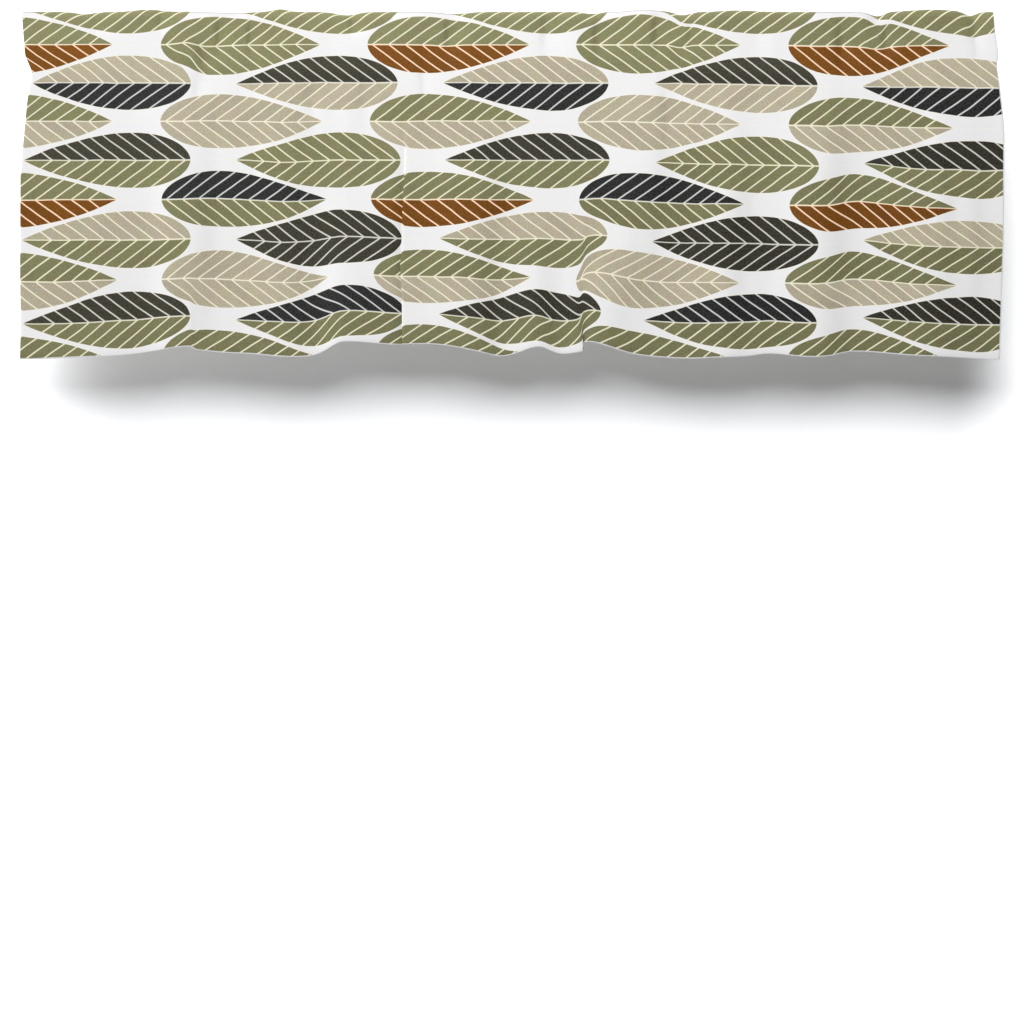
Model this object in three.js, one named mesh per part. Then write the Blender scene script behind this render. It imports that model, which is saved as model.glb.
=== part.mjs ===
// A rod-pocket window valance: one piece of light printed cloth, hung at its top edge.
// Millimetres. X runs along the window, +Z is up, and the printed front faces -Y.
// The origin is the middle of the top edge.
import * as THREE from 'three';

// ---- Driving dimensions ----
const FLAT_WIDTH = 1322;      // cut and hemmed width, before it is eased on to a rod
const EASE = 0.985;           // hung width / flat width
const DROP = 457;             // top edge to hem, as hung
const POCKET_DROP = 76;       // top edge to the seam that closes the rod pocket
const CLOTH = 1.5;            // thickness of one layer
const HEM_HEIGHT = 12;        // the hem turned up at the back
const HEM_EXTRA = 1;          // how much thicker the cloth is there
const CREST_RADIUS = 10;      // middle of the cloth, where it turns over a 16 mm rod
const HANG = 10.5;            // the sheet hangs this far in front of the rod's middle
const SEAM_GAP = 0.6;         // V left open at the foot of the rod pocket
const SEAM_LEDGE = 3;         // cloth below that V, where the two layers are sewn together

// Cloth lengths, measured along the front layer from the top edge.
const QUARTER_TURN = CREST_RADIUS * Math.PI / 2;
const TURN_LOSS = QUARTER_TURN - CREST_RADIUS;
const SEAM = POCKET_DROP + TURN_LOSS;
const HEM = DROP + TURN_LOSS;

// ---- Folds ----
// A row for each ridge or hollow. x is where it meets the hem, and lean is how much further right
// it would meet the top edge. top and full are the drops at which it begins and is fully formed,
// left and right are its half widths, depth is how far it stands towards the viewer, and lift is
// how far it raises the hem.
const FOLDS = [
  { x: -650, lean: 0, top: 300, full: 457, left: 40, right: 40, depth: 0, lift: -2.5 },
  { x: -560, lean: 0, top: 60, full: 300, left: 60, right: 60, depth: 3, lift: 0 },
  { x: -430, lean: -14, top: 60, full: 250, left: 38, right: 42, depth: 5.6, lift: 0 },
  { x: -424, lean: 0, top: 300, full: 457, left: 62, right: 60, depth: 0, lift: 11 },
  { x: -345, lean: 0, top: 330, full: 457, left: 32, right: 32, depth: 0, lift: 3 },
  { x: -300, lean: 0, top: 50, full: 200, left: 38, right: 28, depth: 3.2, lift: 0 },
  { x: -228, lean: 0, top: 175, full: 457, left: 26, right: 80, depth: 9, lift: 19.5 },
  { x: -98, lean: 0, top: 300, full: 457, left: 66, right: 66, depth: 2, lift: 15 },
  { x: -44, lean: 0, top: 60, full: 260, left: 44, right: 28, depth: 4.5, lift: 0 },
  { x: -13, lean: 0, top: 250, full: 457, left: 20, right: 12, depth: -2, lift: -2.5 },
  { x: 35, lean: 0, top: 250, full: 457, left: 26, right: 22, depth: 5, lift: 14.5 },
  { x: 84, lean: 0, top: 330, full: 457, left: 26, right: 30, depth: 2, lift: 8.5 },
  { x: 120, lean: 0, top: 100, full: 457, left: 26, right: 40, depth: 0, lift: 12.5 },
  { x: 128, lean: 75, top: 60, full: 260, left: 50, right: 38, depth: 4.2, lift: 0 },
  { x: 240, lean: 0, top: 300, full: 457, left: 40, right: 40, depth: 0, lift: -2.5 },
  { x: 287, lean: 0, top: 60, full: 260, left: 40, right: 28, depth: 4, lift: 0 },
  { x: 345, lean: 0, top: 300, full: 457, left: 26, right: 30, depth: 1, lift: 4.5 },
  { x: 408, lean: 0, top: 60, full: 220, left: 46, right: 34, depth: 5.5, lift: 0 },
  { x: 455, lean: 0, top: 70, full: 220, left: 30, right: 60, depth: 1, lift: 6 },
  { x: 561, lean: 0, top: 60, full: 260, left: 60, right: 46, depth: 5, lift: 0 },
  { x: 645, lean: 0, top: 300, full: 457, left: 50, right: 50, depth: 0, lift: -3.5 },
];

// A row for each lap, where the cloth turns under itself, or nearly does. width is the half width
// of the turn. tuck draws the two sides together, step is how far the left side stands back behind
// the right one, or the right one if it is negative, and rise is how much higher the right side
// hangs. reach is how far the tuck and the rise take to die away along the cloth, and slope is the
// same for the step.
const LAPS = [
  { x: -420, top: 250, full: 457, width: 5, reach: 90, slope: 40, tuck: 1.5, step: -1.5, rise: -5 },
  { x: -140, top: 100, full: 440, width: 3, reach: 150, slope: 16, tuck: 8, step: 9, rise: 0 },
  { x: 98, top: 240, full: 335, width: 5, reach: 60, slope: 30, tuck: 1, step: -1.5, rise: 9 },
  { x: 98, top: 403, full: 470, width: 4.5, reach: 150, slope: 20, tuck: 6, step: -4, rise: 1.5 },
  { x: 430, top: 60, full: 220, width: 12, reach: 90, slope: 50, tuck: 0, step: -2, rise: 2 },
];
const STEP_SPREAD = 1.6;      // a lap's step in depth is this much wider than its turn
const DEEP_TUCK = 3;          // a lap with more tuck than this needs close columns

// A row for each pucker or small pull: where it is, its half width and height, how far it moves
// the cloth to the right and down, and how far the front layer stands back from the viewer.
const PUCKERS = [
  { x: -566, drop: 0, wide: 16, tall: 20, sway: 0, dip: 3, dent: 1 },
  { x: -482, drop: 0, wide: 24, tall: 24, sway: 0, dip: -3, dent: -0.8 },
  { x: -432, drop: 40, wide: 15, tall: 30, sway: 0, dip: -3, dent: -1 },
  { x: -396, drop: 44, wide: 26, tall: 30, sway: 0, dip: 1.6, dent: 0.6 },
  { x: -406, drop: 70, wide: 9, tall: 18, sway: 3, dip: 2.4, dent: 0.8 },
  { x: -428, drop: 67, wide: 12, tall: 13, sway: 2.5, dip: -4, dent: -0.6 },
  { x: -365, drop: 0, wide: 22, tall: 20, sway: 0, dip: 1.5, dent: 0.4 },
  { x: -306, drop: 0, wide: 14, tall: 14, sway: 0, dip: -3.5, dent: -0.8 },
  { x: -217, drop: 0, wide: 18, tall: 22, sway: 0, dip: 4.5, dent: 1.4 },
  { x: -74, drop: 0, wide: 22, tall: 24, sway: 0, dip: 2.5, dent: 0.8 },
  { x: -85, drop: 46, wide: 18, tall: 22, sway: 0, dip: 2, dent: 0.4 },
  { x: 107, drop: 0, wide: 14, tall: 18, sway: 0, dip: 2.5, dent: 0.8 },
  { x: 176, drop: 0, wide: 26, tall: 24, sway: 0, dip: -3, dent: -0.8 },
  { x: 226, drop: 8, wide: 13, tall: 20, sway: 0, dip: 5, dent: 1.6 },
  { x: 223, drop: 50, wide: 12, tall: 22, sway: 0, dip: 3, dent: 0.8 },
  { x: 300, drop: 0, wide: 30, tall: 20, sway: 0, dip: -2, dent: -0.5 },
  { x: 485, drop: 8, wide: 12, tall: 24, sway: 0, dip: 6.5, dent: 1.8 },
  { x: 484, drop: 44, wide: 16, tall: 20, sway: 0, dip: 3, dent: 1.2 },
  { x: 560, drop: 0, wide: 40, tall: 18, sway: 0, dip: -3, dent: -0.8 },
  { x: 615, drop: 8, wide: 12, tall: 26, sway: 0, dip: 6, dent: 1.8 },
  { x: -510, drop: 110, wide: 55, tall: 70, sway: -5, dip: 0, dent: 0 },
  { x: -180, drop: 60, wide: 170, tall: 80, sway: -4, dip: 0, dent: 0 },
  { x: 75, drop: 60, wide: 45, tall: 60, sway: -4.5, dip: 0, dent: 0 },
  { x: 200, drop: 180, wide: 60, tall: 80, sway: 3.5, dip: 0, dent: 0 },
  { x: 235, drop: 250, wide: 110, tall: 120, sway: 0, dip: 3.5, dent: 0 },
  { x: -300, drop: 330, wide: 40, tall: 90, sway: 0, dip: 3.5, dent: 0 },
  { x: -610, drop: 400, wide: 60, tall: 60, sway: 0, dip: 3.5, dent: 0 },
  { x: -90, drop: 350, wide: 60, tall: 70, sway: 0, dip: -2.5, dent: 0 },
  { x: 440, drop: 240, wide: 120, tall: 80, sway: 2, dip: 1.5, dent: 0 },
  { x: 150, drop: 420, wide: 120, tall: 70, sway: -5, dip: 0, dent: 0 },
  { x: 235, drop: 380, wide: 75, tall: 80, sway: -5, dip: 0, dent: 0 },
  { x: -160, drop: 280, wide: 90, tall: 75, sway: -3.5, dip: 0, dent: 0 },
  { x: 60, drop: 350, wide: 330, tall: 26, sway: -3, dip: 0, dent: 0 },
  { x: 116, drop: 392, wide: 22, tall: 24, sway: -3.6, dip: 0, dent: 0 },
  { x: 88, drop: 380, wide: 16, tall: 11, sway: 0, dip: 1.2, dent: 0 },
];

// How far each side edge stands in from the widest line, at a few drops.
const LEFT_EDGE = [
  { drop: 0, inset: 2.5 }, { drop: 60, inset: 7 }, { drop: 82, inset: 16 }, { drop: 93, inset: 16 },
  { drop: 114, inset: 11 }, { drop: 150, inset: 7.5 }, { drop: 220, inset: 1 }, { drop: 457, inset: 0 },
];
const RIGHT_EDGE = [
  { drop: 0, inset: 13.5 }, { drop: 24, inset: 12 }, { drop: 55, inset: 7.3 }, { drop: 69, inset: 10 },
  { drop: 90, inset: 6.6 }, { drop: 130, inset: 2 }, { drop: 156, inset: 0 }, { drop: 300, inset: 1 },
  { drop: 457, inset: 6 },
];
const EDGE_REACH = 70;        // how far in from an edge its inset is felt

// The cloth between top edge and hem is drawn up a little on the left and sags on the right.
const BOW = 5.5;
const SAG = 11.5;
const SAG_FROM = 120;

// ---- Mesh stations ----
const COLUMN_STEP = 16;       // spacing of the columns along the width
const SHEET_STEPS = 7;        // from the hem's top to the pocket seam
const POCKET_STEPS = 4;       // up the front of the pocket
const TURN_STEPS = 4;         // over the top
const BACK_STEPS = 3;         // down the back of the pocket
const LAP_COLUMNS = [-3, -2, -1.4, -0.9, -0.45, 0, 0.45, 0.9, 1.4, 2, 3];  // in lap widths
const LAP_CLEARING = 4.5;     // no even column stands nearer a lap than this, in lap widths
const NORMAL_STEP = 0.25;     // half the distance over which a slope is taken
const HALF_WIDTH = FLAT_WIDTH / 2;
const HUNG_HALF = HALF_WIDTH * EASE;

const { clamp, lerp, smoothstep } = THREE.MathUtils;
const bell = (q) => Math.exp(-q * q);
const ramp = (value, from, to) => clamp((value - from) / (to - from), 0, 1);

function insetAt(rows, drop) {
  const next = rows.findIndex((row) => row.drop >= drop);
  if (next < 0) return rows[rows.length - 1].inset;
  if (next === 0) return rows[0].inset;
  const above = rows[next - 1];
  const below = rows[next];
  return lerp(above.inset, below.inset, ramp(drop, above.drop, below.drop));
}

// Middle surface of the cloth. s is the flat place along the width. t is the length along the
// cloth from the top edge: positive down the front, negative down the pocket's back layer.
function clothPoint(s, t) {
  const side = t < 0 ? 1 : -1;
  const length = Math.abs(t);
  const turn = Math.min(length / CREST_RADIUS, Math.PI / 2);
  const straight = Math.max(length - QUARTER_TURN, 0);
  const drop = CREST_RADIUS * (1 - Math.cos(turn)) + straight;
  const closing = ramp(length, QUARTER_TURN, SEAM);
  const facing = ramp(t, -QUARTER_TURN, QUARTER_TURN);
  const hungX = s * EASE;
  const roundY = side * CREST_RADIUS * Math.sin(turn);
  const seamY = t < 0 ? -HANG + CLOTH + SEAM_GAP : -HANG;
  let x = hungX;
  let y = lerp(roundY, seamY, closing);
  let z = -drop;

  for (const fold of FOLDS) {
    const formed = ramp(drop, fold.top, fold.full);
    const across = hungX - fold.x - fold.lean * (1 - drop / DROP);
    const shape = bell(across / (across < 0 ? fold.left : fold.right));
    y -= fold.depth * smoothstep(formed, 0, 1) * shape;
    z += fold.lift * formed * formed * shape;
  }
  for (const lap of LAPS) {
    const formed = ramp(drop, lap.top, lap.full);
    const soft = smoothstep(formed, 0, 1);
    const across = hungX - lap.x;
    const turned = Math.tanh(across / lap.width) * bell(across / lap.reach);
    const covered = 1 - Math.sign(lap.step) * Math.tanh(across / lap.width / STEP_SPREAD);
    x -= lap.tuck * soft * turned;
    y += Math.abs(lap.step) / 2 * soft * covered * bell(across / lap.slope);
    z += lap.rise / 2 * formed * formed * turned;
  }
  for (const pucker of PUCKERS) {
    const shape = bell((hungX - pucker.x) / pucker.wide) * bell((drop - pucker.drop) / pucker.tall);
    x += pucker.sway * shape;
    y += pucker.dent * shape * facing;
    z -= pucker.dip * shape;
  }
  const sag = BOW - SAG * smoothstep(hungX, SAG_FROM, HUNG_HALF);
  z += sag * Math.sin(Math.PI * clamp(drop / DROP, 0, 1));
  x += insetAt(LEFT_EDGE, drop) * Math.exp(-(hungX + HUNG_HALF) / EDGE_REACH);
  x -= insetAt(RIGHT_EDGE, drop) * Math.exp(-(HUNG_HALF - hungX) / EDGE_REACH);
  return new THREE.Vector3(x, y, z);
}

// Unit normal of the middle surface, towards the printed side: away from the pocket on both layers.
function clothNormal(s, t) {
  const along = clothPoint(s + NORMAL_STEP, t).sub(clothPoint(s - NORMAL_STEP, t));
  const up = clothPoint(s, t - NORMAL_STEP).sub(clothPoint(s, t + NORMAL_STEP));
  return along.cross(up).normalize();
}

function facePoint(s, t, offset) {
  return clothPoint(s, t).addScaledVector(clothNormal(s, t), offset);
}

// Even columns along the width, with closer ones across each lap that is deeply tucked.
function columnPlaces() {
  const tucked = LAPS.filter((lap) => lap.tuck > DEEP_TUCK);
  const laps = tucked.map((lap) => ({ centre: lap.x / EASE, width: lap.width / EASE }));
  const count = Math.round(FLAT_WIDTH / COLUMN_STEP);
  const places = [];
  for (let i = 0; i <= count; i += 1) {
    const s = -HALF_WIDTH + FLAT_WIDTH * i / count;
    const nearLap = laps.some((lap) => Math.abs(s - lap.centre) < LAP_CLEARING * lap.width);
    if (!nearLap) places.push(s);
  }
  for (const lap of laps) {
    for (const q of LAP_COLUMNS) places.push(lap.centre + q * lap.width);
  }
  return places.sort((a, b) => a - b);
}

// Cloth lengths from `from` to `to` in equal steps, without the first.
function steps(from, to, count) {
  return Array.from({ length: count }, (_, i) => lerp(from, to, (i + 1) / count));
}

// One closed section through the cloth at s: an outer loop round the whole piece and an inner
// loop round the rod pocket. Both go up the front, over the top and down the back.
function sectionAt(s) {
  const hemTop = HEM - HEM_HEIGHT;
  const sheet = [hemTop, ...steps(hemTop, SEAM, SHEET_STEPS)];
  const pocket = [
    ...steps(SEAM, QUARTER_TURN, POCKET_STEPS),
    ...steps(QUARTER_TURN, -QUARTER_TURN, TURN_STEPS),
    ...steps(-QUARTER_TURN, -SEAM, BACK_STEPS),
  ];
  const sheetBack = [SEAM + SEAM_LEDGE, ...sheet.slice(0, -1).reverse()];
  const outer = [HEM, ...sheet, ...pocket].map((t) => facePoint(s, t, CLOTH / 2));
  outer.push(...sheetBack.map((t) => facePoint(s, t, -CLOTH / 2)));
  outer.push(...[hemTop, HEM].map((t) => facePoint(s, t, -CLOTH / 2 - HEM_EXTRA)));
  const inner = [SEAM, ...pocket].map((t) => facePoint(s, t, -CLOTH / 2));
  return { outer, inner };
}

// Faces between neighbouring loops of the same length. `inward` is for the wall of a tunnel.
function wallFaces(loops, firstIndex, inward) {
  const size = loops[0].length;
  const faces = [];
  for (let column = 0; column + 1 < loops.length; column += 1) {
    for (let k = 0; k < size; k += 1) {
      const next = (k + 1) % size;
      const a = firstIndex + column * size + k;
      const d = firstIndex + column * size + next;
      const b = a + size;
      const c = d + size;
      faces.push(...(inward ? [[a, c, b], [a, d, c]] : [[a, b, c], [a, c, d]]));
    }
  }
  return faces;
}

// The end of the cloth: the section filled between its two loops, facing along `direction` * X.
function endFaces(section, outerIndex, innerIndex, direction) {
  const flat = (loop) => loop.map((p) => new THREE.Vector2(p.y, p.z));
  const contour = flat(section.outer);
  const hole = flat(section.inner);
  const points = [...contour, ...hole];
  const indexOf = (i) => (i < contour.length ? outerIndex + i : innerIndex + i - contour.length);
  return THREE.ShapeUtils.triangulateShape(contour, [hole]).map((face) => {
    const counterClockwise = THREE.ShapeUtils.area(face.map((i) => points[i])) > 0;
    const ordered = counterClockwise === (direction > 0) ? face : [...face].reverse();
    return ordered.map(indexOf);
  });
}

function clothGeometry() {
  const sections = columnPlaces().map(sectionAt);
  const outers = sections.map((section) => section.outer);
  const inners = sections.map((section) => section.inner);
  const last = sections.length - 1;
  const outerSize = outers[0].length;
  const innerSize = inners[0].length;
  const innerStart = outerSize * sections.length;
  const faces = [
    ...wallFaces(outers, 0, false),
    ...wallFaces(inners, innerStart, true),
    ...endFaces(sections[0], 0, innerStart, -1),
    ...endFaces(sections[last], last * outerSize, innerStart + last * innerSize, 1),
  ];
  const geometry = new THREE.BufferGeometry().setFromPoints([...outers.flat(), ...inners.flat()]);
  geometry.setIndex(faces.flat());
  geometry.computeVertexNormals();
  return geometry;
}

const clothMaterial = new THREE.MeshStandardMaterial({
  color: '#c9c6b4',
  roughness: 0.9,
  metalness: 0,
});

const valanceCloth = new THREE.Mesh(clothGeometry(), clothMaterial);
valanceCloth.name = 'valance_cloth';

const valance = new THREE.Group();
valance.add(valanceCloth);

export default valance;
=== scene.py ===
"""A printed window valance, hung by its rod pocket, in front of a pale wall.

The cloth is one sheet of real thickness. It is worked out in millimetres from its flat size, its
folds and its hems, and written to the meshes in metres. In flat cloth, s runs along the window
from its middle and t down the front from the top edge. Negative t is the back of the rod pocket.
"""
import math

import bpy
import numpy as np
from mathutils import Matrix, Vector


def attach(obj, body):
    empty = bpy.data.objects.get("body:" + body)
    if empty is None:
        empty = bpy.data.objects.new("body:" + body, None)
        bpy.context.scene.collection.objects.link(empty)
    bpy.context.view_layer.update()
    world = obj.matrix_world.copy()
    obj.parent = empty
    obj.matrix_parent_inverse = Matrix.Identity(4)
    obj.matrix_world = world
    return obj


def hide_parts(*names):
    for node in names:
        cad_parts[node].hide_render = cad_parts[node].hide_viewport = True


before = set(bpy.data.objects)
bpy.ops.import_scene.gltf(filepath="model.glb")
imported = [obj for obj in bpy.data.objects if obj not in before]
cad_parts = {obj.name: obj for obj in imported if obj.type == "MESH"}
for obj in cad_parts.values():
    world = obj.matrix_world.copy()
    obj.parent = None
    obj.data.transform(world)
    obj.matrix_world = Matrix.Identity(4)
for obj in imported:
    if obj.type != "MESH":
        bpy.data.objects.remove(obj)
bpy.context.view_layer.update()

MM = 0.001

# ---- The cloth's own sizes, as in the CAD part ----
FLAT_WIDTH = 1322.0
EASE = 0.985
DROP = 457.0
POCKET_DROP = 76.0
CREST_RADIUS = 10.0
HANG = 10.5  # the sheet hangs this far in front of the rod's middle
QUARTER_TURN = CREST_RADIUS * math.pi / 2
TURN_LOSS = QUARTER_TURN - CREST_RADIUS
SEAM = POCKET_DROP + TURN_LOSS
HEM = DROP + TURN_LOSS
HALF_WIDTH = FLAT_WIDTH / 2
HUNG_HALF = HALF_WIDTH * EASE

# ---- What the CAD part leaves out ----
THICKNESS = 0.5
SEAM_SPACE = 1.0  # between the two layers at the pocket's seam
SIDE_SEAM_SPACE = 4.0  # the same where the turned side hems lie between them
SEAM_MARGIN = 5.0  # cloth below the seam on the pocket's back
BOTTOM_HEM = 12.0
SIDE_HEM = 9.0
TUCKED_UNDER = 4.0  # raw edge folded inside each hem
HEM_TURN = 0.75  # radius of a hem's fold

# A row for each ridge or hollow. x is where it meets the hem, and lean is how much further right
# it would meet the top edge. top and full are the drops at which it begins and is fully formed,
# left and right are its half widths, depth is how far it stands towards the viewer, and lift is
# how far it raises the hem.
FOLD_COLUMNS = ("x", "lean", "top", "full", "left", "right", "depth", "lift")
FOLDS = (
    (-650, 0, 300, 457, 40, 40, 0.0, -2.5),
    (-560, 0, 60, 300, 60, 60, 3.0, 0),
    (-430, -14, 60, 250, 38, 42, 5.6, 0),
    (-424, 0, 300, 457, 62, 60, 0.0, 11.0),
    (-345, 0, 330, 457, 32, 32, 0.0, 3.0),
    (-300, 0, 50, 200, 38, 28, 3.2, 0),
    (-228, 0, 175, 457, 26, 80, 9.0, 19.5),
    (-98, 0, 300, 457, 66, 66, 2.0, 15.0),
    (-44, 0, 60, 260, 44, 28, 4.5, 0),
    (-13, 0, 250, 457, 20, 12, -2.0, -2.5),
    (35, 0, 250, 457, 26, 22, 5.0, 14.5),
    (84, 0, 330, 457, 26, 30, 2.0, 8.5),
    (120, 0, 100, 457, 26, 40, 0.0, 12.5),
    (128, 75, 60, 260, 50, 38, 4.2, 0),
    (240, 0, 300, 457, 40, 40, 0.0, -2.5),
    (287, 0, 60, 260, 40, 28, 4.0, 0),
    (345, 0, 300, 457, 26, 30, 1.0, 4.5),
    (408, 0, 60, 220, 46, 34, 5.5, 0),
    (455, 0, 70, 220, 30, 60, 1.0, 6.0),
    (561, 0, 60, 260, 60, 46, 5.0, 0),
    (645, 0, 300, 457, 50, 50, 0.0, -3.5),
)

# A row for each lap, where the cloth turns under itself, or nearly does. width is the half width of
# the turn. tuck draws the two sides together, step is how far the left side stands back behind the
# right one, or the right one if it is negative, and rise is how much higher the right side hangs.
# reach is how far the tuck and the rise take to die away along the cloth, and slope is the same
# for the step.
LAP_COLUMNS = ("x", "top", "full", "width", "reach", "slope", "tuck", "step", "rise")
LAPS = (
    (-420, 250, 457, 5.0, 90, 40, 1.5, -1.5, -5.0),
    (-140, 100, 440, 1.8, 150, 13, 9.0, 7.0, 0.0),
    (98, 240, 335, 5.0, 60, 30, 1.0, -1.5, 9.0),
    (98, 403, 470, 4.5, 150, 20, 6.0, -4.0, 1.5),
    (430, 60, 220, 12, 90, 50, 0.0, -2.0, 2.0),
)
STEP_SPREAD = 1.6  # a lap's step in depth is this much wider than its turn

# A row for each pucker or small pull in the cloth: where it is, its half width and height, how far
# it moves the cloth to the right and down, and how far it stands back from the viewer.
PUCKER_COLUMNS = ("x", "drop", "wide", "tall", "sway", "dip", "dent")
PUCKERS = (
    (-566, 0, 16, 20, 0, 3.0, 1.0),
    (-482, 0, 24, 24, 0, -3.0, -0.8),
    (-432, 40, 15, 30, 0, -3.0, -1.0),
    (-396, 44, 26, 30, 0, 1.6, 0.6),
    (-406, 70, 9, 18, 3.0, 2.4, 0.8),
    (-428, 67, 12, 13, 2.5, -4.0, -0.6),
    (-365, 0, 22, 20, 0, 1.5, 0.4),
    (-306, 0, 14, 14, 0, -3.5, -0.8),
    (-217, 0, 18, 22, 0, 4.5, 1.4),
    (-74, 0, 22, 24, 0, 2.5, 0.8),
    (-85, 46, 18, 22, 0, 2.0, 0.4),
    (107, 0, 14, 18, 0, 2.5, 0.8),
    (176, 0, 26, 24, 0, -3.0, -0.8),
    (226, 8, 13, 20, 0, 5.0, 1.6),
    (223, 50, 12, 22, 0, 3.0, 0.8),
    (300, 0, 30, 20, 0, -2.0, -0.5),
    (485, 8, 12, 24, 0, 6.5, 1.8),
    (484, 44, 16, 20, 0, 3.0, 1.2),
    (560, 0, 40, 18, 0, -3.0, -0.8),
    (615, 8, 12, 26, 0, 6.0, 1.8),
    (-510, 110, 55, 70, -5.0, 0, 0),
    (-180, 60, 170, 80, -4.0, 0, 0),
    (75, 60, 45, 60, -4.5, 0, 0),
    (200, 180, 60, 80, 3.5, 0, 0),
    (235, 250, 110, 120, 0, 3.5, 0),
    (-300, 330, 40, 90, 0, 3.5, 0),
    (-610, 400, 60, 60, 0, 3.5, 0),
    (-90, 350, 60, 70, 0, -2.5, 0),
    (440, 240, 120, 80, 2.0, 1.5, 0),
    (150, 420, 120, 70, -5.0, 0, 0),
    (235, 380, 75, 80, -5.0, 0, 0),
    (-160, 280, 90, 75, -3.5, 0, 0),
    (60, 350, 330, 26, -3.0, 0, 0),
    (-62, 190, 45, 40, 4.5, 0, 0),
    (350, 385, 55, 65, -4.0, 0, 0),
    (515, 405, 45, 50, 3.6, 0, 0),
    (170, 405, 45, 40, -6.5, 0, 0),
    (-405, 410, 30, 45, -3.4, 0, 0),
    (-315, 405, 35, 40, 3.2, 0, 0),
    (-598, 410, 45, 40, 4.5, 0, 0),
    (537, 204, 50, 30, 3.5, 2.5, 0),
    (630, 235, 40, 60, 0, 3.4, 0),
    (560, 62, 45, 32, -2.6, -3.0, 0),
    (-380, 85, 45, 26, 1.5, 2.4, 0),
    (60, 332, 48, 45, 0, -3.0, 0),
    (-390, 290, 35, 110, 0, -2.0, 0),
    (-297, 190, 35, 50, 0, 2.5, 0),
    (74, 125, 30, 25, -4.0, 2.5, 0),
    (116, 392, 22, 24, -3.6, 0, 0),
    (97, 373, 13, 11, 0, 2.6, 0),
)

# A row for each crease where the cloth was folded or pressed: where it is deepest, its half widths
# to left and right, its half height, and how far it stands back.
CREASE_COLUMNS = ("x", "drop", "left", "right", "tall", "dent")
CREASES = (
    (-550, 12, 5, 20, 16, 2.0),
    (-496, 100, 6, 18, 34, 1.2),
    (-464, 8, 5, 19, 16, 3.0),
    (-410, 60, 6, 18, 13, 2.6),
    (-414, 105, 9, 16, 26, 1.8),
    (-386, 30, 5, 22, 24, 3.4),
    (-344, 32, 5, 20, 24, 3.0),
    (-262, 115, 8, 10, 45, 1.3),
    (-208, 12, 5, 20, 16, 3.0),
    (-192, 120, 8, 14, 40, 1.2),
    (-114, 90, 5, 15, 42, 1.3),
    (-81, 30, 5, 20, 20, 3.0),
    (47, 22, 6, 22, 30, 1.8),
    (116, 35, 6, 22, 24, 3.0),
    (192, 30, 6, 22, 26, 3.4),
    (203, 140, 9, 20, 50, 1.5),
    (237, 26, 6, 19, 20, 2.6),
    (436, 38, 6, 24, 28, 3.2),
    (496, 32, 5, 20, 18, 2.8),
    (621, 25, 6, 18, 34, 1.8),
)

# How far each side edge stands in from the widest line, at a few drops.
LEFT_EDGE_DROPS = (0, 60, 82, 93, 114, 150, 220, 457)
LEFT_EDGE_INSETS = (2.5, 7, 16, 16, 11, 7.5, 1, 0)
RIGHT_EDGE_DROPS = (0, 24, 55, 69, 90, 130, 156, 300, 457)
RIGHT_EDGE_INSETS = (13.5, 12, 7.3, 10, 6.6, 2, 0, 1, 6)
EDGE_REACH = 70.0

# The cloth between top edge and hem is drawn up a little on the left and sags on the right.
BOW = 5.5
SAG = 11.5
SAG_FROM = 120.0

# Soft ripples too small to list: a row for each family, half widths in mm.
RIPPLE_SEED = 7
RIPPLES = (
    # count, least and most half width, least and most half height, depth
    (70, 9, 20, 60, 170, 0.45),
    (60, 6, 13, 18, 40, 0.22),
)

# ---- Stitching: it shows on the side that faces the wall ----
STITCH_PITCH = 3.2
STITCH_LENGTH = 2.5
THREAD_RADIUS = 0.19
THREAD_SIDES = 6
STITCH_COLUMNS = ("along", "share", "stand")
# Along a stitch, in stitch lengths: its share of the thread's thickness, and how far it stands out.
STITCH_RINGS = (
    (-0.50, 0.55, -0.15),
    (-0.36, 0.95, 0.08),
    (0.0, 1.0, 0.20),
    (0.36, 0.95, 0.08),
    (0.50, 0.55, -0.15),
)
HEM_SEAM_SHARE = 0.8  # how far up a hem's band its stitches run

# ---- Mesh stations, in mm of cloth ----
COLUMN_STEP = 5.6
ROW_STEP = 5.7
POCKET_STEP = 7.0
LAP_STEP = 0.7
LAP_CLEARING = 13.0
CREASE_STEPS = 2.2  # stations in the left half width of a crease
CREASE_CLEARING = 2.2  # how many such half widths to either side have them
TURN_STEPS = 9
HEM_STEPS = (6, 3, 3, 2)  # in a hem's fold, band, second fold and tucked edge
NORMAL_STEP = 0.25  # over which the cloth's slope is measured
RUN_STEP = 0.2  # over which a seam's direction is measured


def rows_of(columns, table):
    return [dict(zip(columns, row)) for row in table]


def bell(q):
    return np.exp(-q * q)


def ramp(value, start, end):
    return np.clip((value - start) / (end - start), 0, 1)


def soft_ramp(value, start, end):
    u = ramp(value, start, end)
    return u * u * (3 - 2 * u)


def ripple_table():
    """Places, sizes and heights of the small ripples, the same each run."""
    random = np.random.default_rng(RIPPLE_SEED)
    made = []
    for count, least_wide, most_wide, least_tall, most_tall, depth in RIPPLES:
        for _ in range(count):
            made.append((
                random.uniform(-HUNG_HALF, HUNG_HALF),
                random.uniform(0, DROP),
                random.uniform(least_wide, most_wide),
                random.uniform(least_tall, most_tall),
                random.normal(0, depth),
            ))
    return made


FOLD_ROWS = rows_of(FOLD_COLUMNS, FOLDS)
LAP_ROWS = rows_of(LAP_COLUMNS, LAPS)
PUCKER_ROWS = rows_of(PUCKER_COLUMNS, PUCKERS)
CREASE_ROWS = rows_of(CREASE_COLUMNS, CREASES)
RIPPLE_ROWS = ripple_table()


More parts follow.
